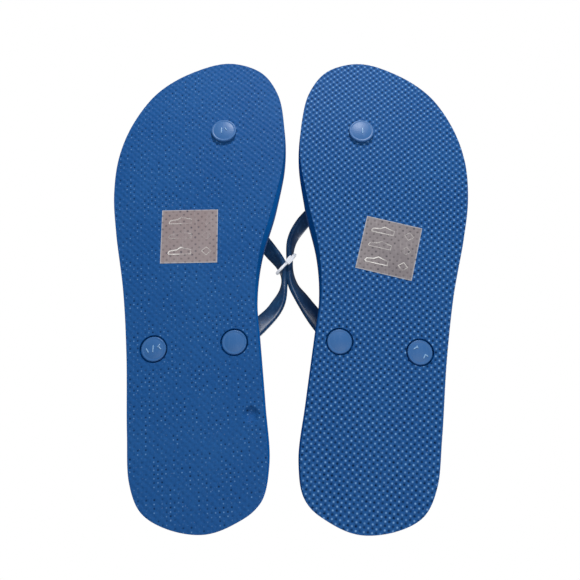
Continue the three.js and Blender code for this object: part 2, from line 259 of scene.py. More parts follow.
def bend(made, rise):
    """Raises each point by rise(y). The plain back is first cut into strips that can follow."""
    def change(bm):
        plain = [face for face in bm.faces if len(face.verts) > 8]
        for y in range(WEDGE[0], int(SOLE_LENGTH), BEND_STRIP):
            around = {part for face in plain for part in (*face.verts, *face.edges)}
            cut = bmesh.ops.bisect_plane(
                bm, geom=[*plain, *around], plane_co=(0, y, 0), plane_no=(0, 1, 0))
            plain = [part for part in cut["geom"] if isinstance(part, bmesh.types.BMFace)]
        for vert in bm.verts:
            vert.co.z += rise(vert.co.y)
    reshape(made, change)


def stand(made, side, sharp=50):
    """Moves a piece from the shoe's own frame to its place in the pair, the left one mirrored."""
    shoe = SHOES[side]
    made.data.transform(
        Matrix.Diagonal((MM, MM, MM, 1)) @ Matrix.Translation((*shoe["heel"], 0))
        @ Matrix.Rotation(math.radians(shoe["turn"]), 4, "Z") @ Matrix.Diagonal((shoe["mirror"], 1, 1, 1)))
    if shoe["mirror"] < 0:
        made.data.flip_normals()
    soften(made, sharp)


def soften(made, sharp=50):
    """Shades the piece smooth, apart from its sharp edges."""
    def change(bm):
        for part in bm.faces:
            part.smooth = True
        for edge in bm.edges:
            edge.smooth = edge.calc_face_angle(0) < math.radians(sharp)
    reshape(made, change)


def coat(made, finish):
    """Gives the whole piece one material."""
    made.data.materials.clear()
    made.data.materials.append(finish)


def label_frame(side, x, y):
    """A point of the shoe's frame, seen from the middle of its film label."""
    shoe = SHOES[side]
    turn = math.radians(shoe["label_turn"])
    x, y = x - shoe["label"][0], y - shoe["label"][1]
    return x * math.cos(turn) + y * math.sin(turn), y * math.cos(turn) - x * math.sin(turn)


def relief_left(side, y):
    """How much of the tread's relief is left at y. The right sole is worn all over, and most at the
    heel, and the left one only towards the toes."""
    least, more, start, end = WEAR[side]
    return 1 - (least + more * smooth_step(start, end, y))


def tread_depth(side, x, y):
    """How deep the tread's surface lies behind its highest points, the tops between the pits."""
    across, along = (x + y) / math.sqrt(2) / PIT_PITCH, (x - y) / math.sqrt(2) / PIT_PITCH
    row, place = round(across), round(along)
    reach = math.hypot(across - row, along - place) * PIT_PITCH
    uneven = 1 + 0.5 * noise.noise(Vector((row * 0.9, place * 0.9, 3.1)))
    pillow = 0.5 + 0.25 * (math.cos(2 * math.pi * across) + math.cos(2 * math.pi * along))
    depth = (PILLOW * pillow + PIT_DEEP * uneven * smooth_step(PIT_R, 0.1, reach)) * relief_left(side, y)
    across, along = label_frame(side, x, y)
    if max(abs(across), abs(along)) < FILM_SIDE / 2 + FILM_MARGIN:
        depth = max(depth, FILM_BED)
    if side == "right":
        away = math.dist((x, y), DENT["at"]) / DENT["r"]
        depth += DENT["deep"] * math.exp(-(away**4)) - DENT["rim"] * math.exp(-((away - 1.6) ** 2) * 6)
    return max(depth, 0)


def node(tree, kind, inputs=None, **settings):
    """A new shader node. An input is a value, or another node's output to link."""
    made = tree.nodes.new("ShaderNode" + kind)
    for key, value in settings.items():
        setattr(made, key, value)
    for key, value in (inputs or {}).items():
        if isinstance(value, bpy.types.NodeSocket):
            tree.links.new(value, made.inputs[key])
        else:
            made.inputs[key].default_value = value
    return made


def effect(name, inputs, outputs):
    """A new shader group, with its input sockets' outputs and its output sockets' inputs."""
    group = bpy.data.node_groups.new(name, "ShaderNodeTree")
    for label, value in inputs.items():
        kind = "NodeSocketFloat" if isinstance(value, (int, float)) else "NodeSocketColor"
        kind = "NodeSocketVector" if value is None else kind
        socket = group.interface.new_socket(label, in_out="INPUT", socket_type=kind)
        if value is not None:
            socket.default_value = value
    for label, kind in outputs.items():
        group.interface.new_socket(label, in_out="OUTPUT", socket_type="NodeSocket" + kind)
    return group, group.nodes.new("NodeGroupInput").outputs, group.nodes.new("NodeGroupOutput").inputs


MIX_A, MIX_B, MIX_RESULT = 6, 7, 2       # the colour sockets of a Mix node


def mixed(tree, factor, first, second, **settings):
    """A Mix node's colour output."""
    made = node(tree, "Mix", {0: factor, MIX_A: first, MIX_B: second}, data_type="RGBA", **settings)
    return made.outputs[MIX_RESULT]


# Foam grain: fine closed cells and a softer unevenness under them.
foam_grain, given, wanted = effect(
    "foam grain", {"Vector": None, "Cells": 2200.0}, {"Height": "Float", "Tone": "Float"})
cells = node(foam_grain, "TexVoronoi", {"Vector": given["Vector"], "Scale": given["Cells"]}, feature="F1")
soft = node(foam_grain, "TexNoise", {
    "Vector": given["Vector"], "Scale": 900.0, "Detail": 5.0, "Roughness": 0.65})
height = node(foam_grain, "Math", {0: cells.outputs["Distance"], 1: soft.outputs["Fac"]}, operation="ADD")
foam_grain.links.new(height.outputs[0], wanted["Height"])
foam_grain.links.new(soft.outputs["Fac"], wanted["Tone"])

# Handling and sheen: a broad mottle, smears along the foot, and pale specks of dust. On the strap the pale
# mottle is painted sheen.
handling_and_sheen, given, wanted = effect(
    "handling_and_sheen", {"Vector": None, "Color": (1, 1, 1, 1), "Pale": (1, 1, 1, 1), "Amount": 0.3, "Specks": 0.3},
    {"Color": "Color", "Mask": "Float"})
broad = node(handling_and_sheen, "TexNoise", {
    "Vector": given["Vector"], "Scale": 28.0, "Detail": 6.0, "Roughness": 0.6})
spread = node(handling_and_sheen, "MapRange", {
    "Value": broad.outputs["Fac"], "From Min": 0.35, "From Max": 0.7,
    "To Min": 0.0, "To Max": given["Amount"]})
smear_way = node(handling_and_sheen, "Mapping", {"Vector": given["Vector"], "Scale": (900.0, 120.0, 900.0)})
smear = node(handling_and_sheen, "TexNoise", {"Vector": smear_way.outputs[0], "Scale": 1.0, "Detail": 3.0})
smears = node(handling_and_sheen, "MapRange", {
    "Value": smear.outputs["Fac"], "From Min": 0.52, "From Max": 0.8,
    "To Min": 0.0, "To Max": given["Amount"]})
both = node(handling_and_sheen, "Math", {0: spread.outputs[0], 1: smears.outputs[0]}, operation="ADD", use_clamp=True)
speck = node(handling_and_sheen, "TexNoise", {"Vector": given["Vector"], "Scale": 1500.0, "Detail": 2.0})
specks = node(handling_and_sheen, "MapRange", {
    "Value": speck.outputs["Fac"], "From Min": 0.69, "From Max": 0.76,
    "To Min": 0.0, "To Max": given["Specks"]})
worn = mixed(handling_and_sheen, both.outputs[0], given["Color"], given["Pale"])
handling_and_sheen.links.new(mixed(handling_and_sheen, specks.outputs[0], worn, DUST), wanted["Color"])
handling_and_sheen.links.new(both.outputs[0], wanted["Mask"])

# Pit rows: where the tread's pits and the tops between them are, both uneven. They place the painted shade in
# the pits and the painted highlights on the tops.
pit_rows, given, wanted = effect(
    "pit rows", {"Vector": None, "Reach": 0.3, "Uneven": 0.5}, {"Pit": "Float", "Top": "Float"})


def lattice_dots(place, size, core, output):
    """Dots on the whole numbers of a place, as one of the group's outputs. They fade out from core to
    the group's Reach times size, and some are fainter than others."""
    reach = node(pit_rows, "Math", {0: given["Reach"], 1: size}, operation="MULTIPLY")
    dots = node(pit_rows, "TexVoronoi", {"Vector": place, "Scale": 1.0, "Randomness": 0.0},
                voronoi_dimensions="2D", feature="F1")
    inside = node(pit_rows, "MapRange", {
        "Value": dots.outputs["Distance"], "From Min": reach.outputs[0], "From Max": core},
        interpolation_type="SMOOTHSTEP")
    pick = node(pit_rows, "SeparateColor", {"Color": dots.outputs["Color"]})
    faint = node(pit_rows, "Math", {0: pick.outputs[0], 1: given["Uneven"]}, operation="MULTIPLY")
    strong = node(pit_rows, "Math", {0: 1.0, 1: faint.outputs[0]}, operation="SUBTRACT", use_clamp=True)
    shown = node(pit_rows, "Math", {0: inside.outputs[0], 1: strong.outputs[0]}, operation="MULTIPLY")
    pit_rows.links.new(shown.outputs[0], wanted[output])


lattice_dots(given["Vector"], size=1.0, core=0.06, output="Pit")
between = node(pit_rows, "Mapping", {"Vector": given["Vector"], "Location": (0.5, 0.5, 0)})
lattice_dots(between.outputs[0], size=TOP_SIZE, core=0.03, output="Top")


def row_places(tree, place, side):
    """Coordinates in which the shoe's pits are at whole numbers."""
    shoe = SHOES[side]
    return node(tree, "Mapping", {
        "Vector": place, "Location": (shoe["heel"][0] * MM, shoe["heel"][1] * MM, 0),
        "Rotation": (0, 0, math.radians(shoe["turn"] + 45)), "Scale": (PIT_PITCH * MM,) * 3},
        vector_type="TEXTURE").outputs[0]


def material(name, gloss=0.5):
    """A new material's tree, its Principled node and the object's own coordinates."""
    made = bpy.data.materials.new(name)
    made.use_nodes = True
    tree = made.node_tree
    tree.nodes["Principled BSDF"].inputs["Specular IOR Level"].default_value = gloss
    return made, tree, tree.nodes["Principled BSDF"], node(tree, "TexCoord").outputs["Object"]


def bumped(tree, shader, height, strength, distance):
    """Feeds a height to the shader's normal."""
    bump = node(tree, "Bump", {"Height": height, "Strength": strength, "Distance": distance})
    tree.links.new(bump.outputs[0], shader.inputs["Normal"])


def foam_rubber(name, colour, pale, roughness, amount, specks, cells, gloss=0.3, side=None):
    """Matt foam rubber. With a side it is a tread, with painted shade in its pits and painted highlights on
    the tops between them.
    """
    made, tree, shader, place = material(name, gloss)
    grain = node(tree, "Group", {"Vector": place, "Cells": cells}, node_tree=foam_grain)
    marks = node(tree, "Group", {
        "Vector": place, "Color": colour, "Pale": pale, "Amount": amount, "Specks": specks},
        node_tree=handling_and_sheen)
    result = marks.outputs["Color"]
    if side:
        rows = node(tree, "Group", {
            "Vector": row_places(tree, place, side), "Reach": PIT_SHADE[side], "Uneven": UNEVEN[side]},
            node_tree=pit_rows)
        # The tops between the pits get a painted highlight.
        rubbed = node(tree, "Math", {0: rows.outputs["Top"], 1: TOP_HIGHLIGHT_AMOUNT[side]}, operation="MULTIPLY")
        result = mixed(tree, rubbed.outputs[0], result, TOP_HIGHLIGHT_BLUE)
        # The pits get painted shade.
        result = mixed(tree, rows.outputs["Pit"], result, PIT_PAINTED_SHADE)
    toned = mixed(tree, 0.35, result, grain.outputs["Tone"], blend_type="OVERLAY")
    tree.links.new(toned, shader.inputs["Base Color"])
    rough = node(tree, "MapRange", {
        "Value": marks.outputs["Mask"], "To Min": roughness, "To Max": roughness + 0.15})
    tree.links.new(rough.outputs[0], shader.inputs["Roughness"])
    bumped(tree, shader, grain.outputs["Height"], strength=0.25, distance=0.00012)
    return made


wall_rubber = foam_rubber(
    "wall rubber", WALL_BLUE, WALL_PALE, roughness=0.5, amount=0.3, specks=0.12, cells=3000.0, gloss=0.0)


def cut_sides(made, rubber):
    """Gives the faces that stand upright, where the die cut the sheet, their own rubber."""
    made.data.materials.append(rubber)
    for face in made.data.polygons:
        if abs(face.normal.z) < 0.3:
            face.material_index = 1


for side in SHOES:
    outsole = pressed_sheet(
        side + "_outsole_sheet", lambda x, y: tread_depth(side, x, y), 0, OUTSOLE_THICK, OUTSOLE_EDGE)
    bend(outsole, toe_spring)
    bore(outsole, {TOE_HOLE: HOLE_R, INNER_HOLE: COUNTERBORE_R, OUTER_HOLE: COUNTERBORE_R})
    stand(outsole, side)
    coat(outsole, foam_rubber(
        side + " tread rubber", TREAD_BLUE, TREAD_PALE, roughness=0.46, amount=0.35, specks=0.25,
        cells=2400.0, gloss=0.05, side=side))
    cut_sides(outsole, wall_rubber)
    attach(outsole, side + "_shoe")
    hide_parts(side + "_outsole")

# ---- Midsoles -----------------------------------------------------------------------------------
# The thick sheet of blue foam between the outsole and the footbed. Its wall is the die's clean cut,
# a little brighter than the tread, and it thins from the heel to the toes.

POST_HOLES = {TOE_HOLE: HOLE_R, INNER_HOLE: HOLE_R, OUTER_HOLE: HOLE_R}
FOOTBED_THICK = 2.5
GLUE_GAP = 0.15
WALL_RINGS, WALL_EDGE, WALL_WOBBLE = 12, 0.12, 0.06


def midsole_point(i, j):
    """A point of the midsole's wall, ring j of WALL_RINGS."""
    y = RIM[i].y
    low = OUTSOLE_THICK + GLUE_GAP
    high = sole_thickness(y) - FOOTBED_THICK - GLUE_GAP
    z = low + (high - low) * j / WALL_RINGS
    point = rim_point(i, z, WALL_EDGE if j in (0, WALL_RINGS) else 0)
    wobble = WALL_WOBBLE * noise.noise(Vector((point.x * 0.12, point.y * 0.12, z * 0.35)))
    return point.x + wobble, point.y + wobble, z


for side in SHOES:
    midsole = solid(side + "_midsole_foam", rolled(len(RIM), WALL_RINGS, midsole_point))
    bend(midsole, toe_spring)
    bore(midsole, POST_HOLES)
    stand(midsole, side)
    coat(midsole, wall_rubber)
    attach(midsole, side + "_shoe")
    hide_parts(side + "_midsole")

# ---- Footbeds -----------------------------------------------------------------------------------
# The top sheet, which the foot stands on: foam rubber with a fine quilted grain pressed into it,
# and a soft cut edge.

QUILT_PITCH, QUILT_DEPTH, FOOTBED_EDGE = 3.2, 0.32, 0.6
HEEL_HOLLOW = {"at": (0, 38), "wide": 20, "long": 26, "deep": 0.25}
BALL_HOLLOW = {"at": (-6, 190), "wide": 27, "long": 28, "deep": 0.2}
FLATTENED = 0.35                         # how much of the grain is gone at the bottom of a hollow
FOOTBED_BLUE, FOOTBED_PALE = (0.012, 0.075, 0.27, 1), (0.03, 0.12, 0.34, 1)


def pressed_in(hollow, x, y):
    """How strongly a point belongs to a hollow, from 0 to 1."""
    across, along = (x - hollow["at"][0]) / hollow["wide"], (y - hollow["at"][1]) / hollow["long"]
    return math.exp(-(across**2) - along**2)


def footbed_depth(x, y):
    """The quilted grain, and the hollows that the heel and the ball of the foot have pressed."""
    wave = math.cos(math.pi * (x + y) / QUILT_PITCH) * math.cos(math.pi * (x - y) / QUILT_PITCH)
    heel, ball = pressed_in(HEEL_HOLLOW, x, y), pressed_in(BALL_HOLLOW, x, y)
    quilt = QUILT_DEPTH * (0.5 - 0.5 * wave) * (1 - FLATTENED * max(heel, ball))
    return -quilt - HEEL_HOLLOW["deep"] * heel - BALL_HOLLOW["deep"] * ball


footbed_rubber = foam_rubber(
    "footbed rubber", FOOTBED_BLUE, FOOTBED_PALE, roughness=0.55, amount=0.4, specks=0.15, cells=2400.0)
for side in SHOES:
    footbed = pressed_sheet(
        side + "_footbed_sheet", footbed_depth, HEEL_THICK, HEEL_THICK - FOOTBED_THICK, FOOTBED_EDGE)
    bend(footbed, lambda y: toe_spring(y) + sole_thickness(y) - HEEL_THICK)
    bore(footbed, POST_HOLES)
    stand(footbed, side)
    coat(footbed, footbed_rubber)
    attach(footbed, side + "_shoe")
    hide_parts(side + "_footbed")

# ---- Straps -------------------------------------------------------------------------------------
# One moulding of denser, glossier rubber for each shoe: the toe post, its two arms and the round
# plugs that hold it under the sole. The inner arms are pulled over to the tie and stand on edge there.

INNER_ARMS = {
    # where the middle of the band is, which way its outer face looks, how wide and how thick it is
    "right": [
        ((-20.3, 219, 25), (0.1, 0.75, 0.75), 5.6, 4.6),
        ((-21.5, 210, 31), (-0.2, 0.35, 1), 7.2, 4.2),
        ((-25.9, 190.8, 36.5), (-0.4, 0.15, 1), 8.6, 3.4),
        ((-33, 170, 39), (-0.45, 0.3, 0.9), 9.6, 3.2),
        ((-42, 156.2, 41), (-0.5, 0.45, 0.8), 9.8, 3.1),
        ((-48.5, 146, 42.5), (-0.85, 0.3, 0.4), 9.8, 3),
        ((-49.6, 136, 43), (-1, 0, 0.05), 9.8, 3),
        ((-43.6, 119, 37.5), (-0.45, -0.45, 0.9), 10.2, 3.1),
        ((-33.2, 106.6, 30), (0.1, -0.5, 0.85), 10.4, 3.2),
        ((-25.2, 97.8, 26), (0, -0.8, 0.5), 8.6, 3.8),
        ((-20.7, 92.8, 20), (-0.2, -0.9, 0), 6, 4.8),
    ],
    "left": [
        ((-20.3, 219, 25), (0.1, 0.75, 0.75), 5.6, 4.6),
        ((-22.5, 210, 31), (-0.3, 0.3, 1), 7.2, 4.2),
        ((-31.2, 194.1, 36.5), (-0.45, 0.35, 1), 8.6, 3.4),
        ((-40.8, 182.4, 38.5), (-0.45, 0.45, 0.9), 9, 3.2),
        ((-49, 171.3, 40), (-0.6, 0.4, 0.75), 9.2, 3.1),
        ((-54, 160, 42.5), (-0.9, 0.2, 0.35), 9.4, 3.1),
        ((-53.4, 145, 43.5), (-1, 0, 0.05), 9.6, 3),
        ((-50.2, 132.8, 41.3), (-0.85, -0.25, 0.5), 9.8, 3),
        ((-43.6, 122.9, 36.5), (-0.5, -0.45, 0.85), 10.2, 3.1),
        ((-32.8, 108.8, 30), (0.1, -0.5, 0.85), 10.4, 3.2),
        ((-25, 98.7, 26), (0, -0.8, 0.5), 8.6, 3.8),
        ((-20.7, 92.8, 20), (-0.2, -0.9, 0), 6, 4.8),
    ],
}
OUTER_ARM = [
    ((-20.3, 219, 25), (-0.1, 0.75, 0.75), 5.6, 4.6),
    ((-16.5, 210, 31), (0.3, 0.3, 1), 7.4, 4.2),
    ((-2, 193, 38), (0.5, 0.1, 0.95), 9.2, 3.4),
    ((17, 172, 43.5), (0.7, 0.05, 0.85), 10, 3.2),
    ((30, 148, 45), (0.85, 0, 0.75), 10.2, 3.1),
    ((34, 125, 41.5), (0.95, -0.15, 0.6), 10.4, 3.1),
    ((30, 105, 32.5), (0.75, -0.55, 0.6), 10.6, 3.2),
    ((23.6, 95.6, 25.5), (0.5, -0.85, 0.35), 8.6, 3.8),
    ((21.5, 92.2, 20), (0.5, -0.85, 0), 6, 4.8),
]
BAND_SIDES, BAND_STEPS = 32, 110
BAND_BODY, BAND_CROWN = 0.46, 0.06       # half the flat body, and the crown on it, in thicknesses
BAND_ROUND = (0.55, 0.5)                 # 1 makes the section an ellipse, and 0 a rectangle
POST_R, POST_SIDES = 2.8, 48
COLLAR_R, COLLAR_HEIGHT, COLLAR_GAP = 4.4, 2.2, 0.3
TOE_PLUG = {"r": 7.2, "bottom": -1.75, "thick": 1.45}
SIDE_PLUG = {"r": 6.5, "bottom": 0.2, "thick": 2.4}
PLUG_RING = 1.3                          # how far in from the rim the plug's faint groove is
PLUGS = {                                # the plug under each hole, and how far its post stands up
    TOE_HOLE: (TOE_PLUG, 10.5), INNER_HOLE: (SIDE_PLUG, 3.4), OUTER_HOLE: (SIDE_PLUG, 3.4)}
SKIN_CELL, SKIN_PASSES = 0.5, 3
PINCH_X, PINCH_SWELL = (-38, -49), 0.36  # the inner arms are squeezed thicker where they meet
# The strap's navy is darker than its rubber's own blue: painted shade on the real colour. Its pale mottle is
# painted sheen.
STRAP_SHADED_NAVY, STRAP_PAINTED_SHEEN = (0.004, 0.026, 0.08, 1), (0.035, 0.14, 0.3, 1)
# The plugs' blue, lighter than the strap's navy though both are one moulding, is painted sheen.
PLUG_SHEEN_BLUE, PLUG_PALE = (0.032, 0.135, 0.37, 1), (0.07, 0.19, 0.43, 1)
# The marks' pale blue is a painted highlight.
MARK_HIGHLIGHT_BLUE, MARK_HIGHLIGHT_PALE = (0.2, 0.4, 0.68, 1), (0.42, 0.6, 0.8, 1)

# Small raised marks on the plugs: where each bar is, its length and its turn.
MARKS = {
    "right": {
        TOE_HOLE: [(1.3, 0, 3.6, 95), (-1.2, 0.7, 2.2, 60)],
        OUTER_HOLE: [
            (3.2, -0.6, 2.6, 60), (0.2, 0.2, 3.8, 95), (-2.8, 1.6, 2.2, 130), (-3.4, 0.2, 1.8, 50)]},
    "left": {
        TOE_HOLE: [(0.6, 0, 3.8, 96)],
        OUTER_HOLE: [
            (-2.6, 2.0, 2.4, 40), (-1.6, 2.6, 1.6, 120), (2.4, -1.8, 2.6, 70), (3.4, -1.2, 2.0, 150)]},
}
MARK_WIDTH, MARK_RAISED = 0.62, 0.3


def arm(stations):
    """A band drawn through the stations: flat inside, crowned outside, with round edges."""
    middles = [Vector(at) for at, face, wide, thick in stations]
    faces = [Vector(face).normalized() for at, face, wide, thick in stations]
    sizes = [Vector((wide, thick)) for at, face, wide, thick in stations]
    last = len(stations) - 1

    def ring(j):
        at = j / BAND_STEPS * last
        before, after = max(at - 0.01, 0), min(at + 0.01, last)
        run = (through(middles, after) - through(middles, before)).normalized()
        face = through(faces, at, even=True)
        face = (face - run * face.dot(run)).normalized()
        middle, size = through(middles, at), through(sizes, at, even=True)
        size.y *= 1 + PINCH_SWELL * smooth_step(*PINCH_X, middle.x)
        return middle, face.cross(run), face, size

    rings = [ring(j) for j in range(BAND_STEPS + 1)]

    def place(i, j):
        middle, across, face, size = rings[j]
        angle = 2 * math.pi * i / BAND_SIDES
        x = 0.5 * math.copysign(abs(math.cos(angle)) ** BAND_ROUND[0], math.cos(angle))
        y = BAND_BODY * math.copysign(abs(math.sin(angle)) ** BAND_ROUND[1], math.sin(angle))
        crown = BAND_CROWN * (1 - (2 * x) ** 2) if y > 0 else 0
        return middle + across * x * size.x + face * (y + crown) * size.y
    return rolled(BAND_SIDES, BAND_STEPS, place)


def turned(profile, hole, sides):
    """A solid turned from a profile of (radius, height above the tread), standing at a hole."""
    bm = rolled(sides, len(profile) - 1, lambda i, j: (
        max(profile[j][0], 0.001) * math.cos(2 * math.pi * i / sides),
        max(profile[j][0], 0.001) * math.sin(2 * math.pi * i / sides), profile[j][1]))
    bmesh.ops.transform(bm, matrix=upright_at(hole, toe_spring(hole[1])), verts=bm.verts)
    return bm


def post(hole, plug, above):
    """The shaft through the sole, with the collar that it swells to on the footbed."""
    base = sole_thickness(hole[1]) + COLLAR_GAP
    return turned([
        (0, plug["bottom"] + plug["thick"] - 0.6), (POST_R, plug["bottom"] + plug["thick"] - 0.6),
        (POST_R, base), (COLLAR_R, base), (COLLAR_R - 0.4, base + COLLAR_HEIGHT / 2),
        (POST_R + 0.2, base + COLLAR_HEIGHT), (POST_R, base + above), (0, base + above),
    ], hole, POST_SIDES)


def plug_disc(hole, plug, sides=96):
    """The round plug, with a rounded rim and a faint ring pressed into its face."""
    r, low = plug["r"], plug["bottom"]
    groove = r - PLUG_RING
    return turned([
        (0, low), (groove - 0.35, low), (groove - 0.1, low + 0.1), (groove + 0.1, low + 0.1),
        (groove + 0.35, low), (r - 0.5, low), (r - 0.2, low + 0.08), (r - 0.05, low + 0.25), (r, low + 0.5),
        (r, low + plug["thick"] - 0.2), (r - 0.2, low + plug["thick"]), (POST_R - 0.4, low + plug["thick"]),
        (POST_R - 0.4, low + plug["thick"] + 1), (0, low + plug["thick"] + 1),
    ], hole, sides)


def mark(hole, plug, x, y, length, turn):
    """A small raised bar on a plug's face."""
    bm = bmesh.new()
    bmesh.ops.create_cube(bm, size=1)
    bmesh.ops.scale(bm, vec=(length, MARK_WIDTH, 2 * MARK_RAISED), verts=bm.verts)
    bmesh.ops.bevel(bm, geom=bm.edges[:], offset=0.2, offset_type="OFFSET", segments=3, profile=0.5,
                    affect="EDGES", material=-1)
    place = upright_at(hole, toe_spring(hole[1])) @ Matrix.Translation((x, y, plug["bottom"]))
    bmesh.ops.transform(bm, matrix=place @ Matrix.Rotation(math.radians(turn), 4, "Z"), verts=bm.verts)
    return bm


def joined(name, parts):
    """One object that holds several closed shells."""
    bm = bmesh.new()
    for part in parts:
        mesh = bpy.data.meshes.new("part")
        part.to_mesh(mesh)
        part.free()
        bm.from_mesh(mesh)
        bpy.data.meshes.remove(mesh)
    return solid(name, bm)


def smooth_rubber(name, colour, pale, roughness, amount, specks):
    """Denser moulded rubber with a satin skin and a fine pebbled grain. On the strap its pale mottle is
    painted sheen.
    """
    made, tree, shader, place = material(name, gloss=0.3)
    marks = node(tree, "Group", {
        "Vector": place, "Color": colour, "Pale": pale, "Amount": amount, "Specks": specks},
        node_tree=handling_and_sheen)
    tree.links.new(marks.outputs["Color"], shader.inputs["Base Color"])
    pebble = node(tree, "TexVoronoi", {"Vector": place, "Scale": 1100.0}, feature="SMOOTH_F1")
    dull = node(tree, "MapRange", {
        "Value": marks.outputs["Mask"], "To Min": roughness, "To Max": roughness + 0.2})
    tree.links.new(dull.outputs[0], shader.inputs["Roughness"])
    bumped(tree, shader, pebble.outputs["Distance"], strength=0.18, distance=0.0002)
    return made


def even_out(bm):
    """Takes the remesh's small steps out of the strap's skin."""
    for again in range(SKIN_PASSES):
        bmesh.ops.smooth_vert(
            bm, verts=bm.verts, factor=0.5, use_axis_x=True, use_axis_y=True, use_axis_z=True)


# The strap's colours carry painted shade and painted sheen.
strap_rubber = smooth_rubber("strap rubber", STRAP_SHADED_NAVY, STRAP_PAINTED_SHEEN, roughness=0.34, amount=0.45, specks=0.25)
# The plugs' lighter blue is painted sheen.
plug_rubber = smooth_rubber("plug rubber", PLUG_SHEEN_BLUE, PLUG_PALE, roughness=0.38, amount=0.25, specks=0.15)
# The raised marks carry a painted highlight.
mark_highlight_rubber = smooth_rubber("mark highlight rubber", MARK_HIGHLIGHT_BLUE, MARK_HIGHLIGHT_PALE, roughness=0.25, amount=0.4, specks=0.2)
for side in SHOES:
    strap = joined(side + "_strap_moulding", [arm(INNER_ARMS[side]), arm(OUTER_ARM)] + [
        post(hole, plug, above) for hole, (plug, above) in PLUGS.items()])
    skin = strap.modifiers.new("skin", "REMESH")
    skin.mode = "VOXEL"
    skin.voxel_size = SKIN_CELL
    finish_modifiers(strap)
    reshape(strap, even_out)
    coat(strap, strap_rubber)
    for hole, (plug, above) in PLUGS.items():
        disc = solid("disc", plug_disc(hole, plug))
        coat(disc, plug_rubber)
        for place in MARKS[side].get(hole, []):
            bar = solid("bar", mark(hole, plug, *place))
            coat(bar, mark_highlight_rubber)
            combine(disc, bar, "UNION")
        combine(strap, disc, "UNION")
    stand(strap, side, sharp=35)
    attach(strap, side + "_shoe")
    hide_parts(side + "_strap")

# ---- Labels -------------------------------------------------------------------------------------
# A square of hazy film stuck on each tread, with the tread's pits showing through it in patches. On
# it are silvery line figures, partly rubbed off.

FILM_THICK, FILM_STEPS, FILM_CURL, FILM_SAG = 0.12, 78, 0.12, 0.12
FILM_TINT = {"right": (0.31, 0.245, 0.25, 1), "left": (0.215, 0.19, 0.205, 1)}
# The rim's pale colour is a painted highlight.
FILM_PALE, FILM_RIM_HIGHLIGHT = (0.38, 0.34, 0.35, 1), (0.6, 0.6, 0.62, 1)
FIGURE_X, LOZENGE_X, ROWS_Y = 5.2, -9.4, (9.0, 0.4, -8.8)
FIGURE = (
    (-6.2, -1.6), (-6.2, 0.9), (-3.4, 1.5), (-0.6, 2.2), (1.6, 0.8), (5.4, 0.2), (6.2, -1.0), (5.8, -1.7))
LOZENGE = ((0, -2.3), (2.6, 0), (0, 2.3), (-2.6, 0))
SILVER, SILVER_WARM = (0.9, 0.87, 0.85, 1), (1.0, 0.97, 0.93, 1)
INK = {"right": ((0.45, 0.2, 0.95), (0.15, 0.1, 0.45)), "left": ((0.8, 0.35, 1.0), (0.3, 0.2, 0.6))}
INK_R, INK_FLAT, INK_RAISED = 0.33, 0.35, 0.05


def film_place(side, x, y, z):
    """From the label's own middle to the shoe's frame, following the sprung sole. The figures are
    mirrored with the left shoe, so X is turned round for it here."""
    shoe = SHOES[side]
    turn = math.radians(shoe["label_turn"])
    x = x * shoe["mirror"]
    at_x = shoe["label"][0] + x * math.cos(turn) - y * math.sin(turn)
    at_y = shoe["label"][1] + x * math.sin(turn) + y * math.cos(turn)
    return at_x, at_y, z + toe_spring(at_y)


def film(side):
    """The film: a thin sheet that sags a little into the pits and curls away at its edges."""
    bm = bmesh.new()
    bmesh.ops.create_grid(bm, x_segments=FILM_STEPS, y_segments=FILM_STEPS, size=FILM_SIDE / 2)
    edge = bm.verts.layers.float.new("edge")
    for vert in bm.verts:
        x, y, z = vert.co
        out = max(abs(x), abs(y)) / (FILM_SIDE / 2)
        vert[edge] = smooth_step(0.965, 1, out)
        at_x, at_y, base = film_place(side, x, y, 0)
        sag = FILM_SAG * min(tread_depth(side, at_x, at_y) / PIT_DEEP, 1)
        curl = -FILM_CURL * smooth_step(0.9, 1, out) * (0.5 + noise.noise(Vector((x * 0.2, y * 0.2, 7))))
        vert.co = (at_x, at_y, base + sag + min(curl, 0))
    back = bmesh.ops.extrude_face_region(bm, geom=bm.faces[:], use_keep_orig=True)["geom"]
    back = [part for part in back if isinstance(part, bmesh.types.BMVert)]
    bmesh.ops.translate(bm, vec=(0, 0, FILM_THICK), verts=back)
    bmesh.ops.recalc_face_normals(bm, faces=bm.faces)
    return bm


def stroke(side, points, at, ink):
    """A closed raised line of ink on the film."""
    curve = bpy.data.curves.new("stroke", "CURVE")
    curve.dimensions = "3D"
    curve.bevel_depth = INK_R
    curve.bevel_resolution = 1
    line = curve.splines.new("POLY")
    line.points.add(len(points) - 1)
    for knot, (x, y) in zip(line.points, points):
        knot.co = (x + at[0], y + at[1], 0, 1)
    line.use_cyclic_u = True
    drawn = bpy.data.objects.new("stroke", curve)
    bpy.context.scene.collection.objects.link(drawn)
    bpy.context.view_layer.update()
    mesh = bpy.data.meshes.new_from_object(drawn.evaluated_get(bpy.context.evaluated_depsgraph_get()))
    bpy.data.objects.remove(drawn)
    bm = bmesh.new()
    bm.from_mesh(mesh)
    strength = bm.verts.layers.float.new("ink")
    for vert in bm.verts:
        x, y, z = vert.co
        vert[strength] = ink
        vert.co = film_place(side, x, y, z * INK_FLAT - INK_RAISED)
    bmesh.ops.recalc_face_normals(bm, faces=bm.faces)
    return bm


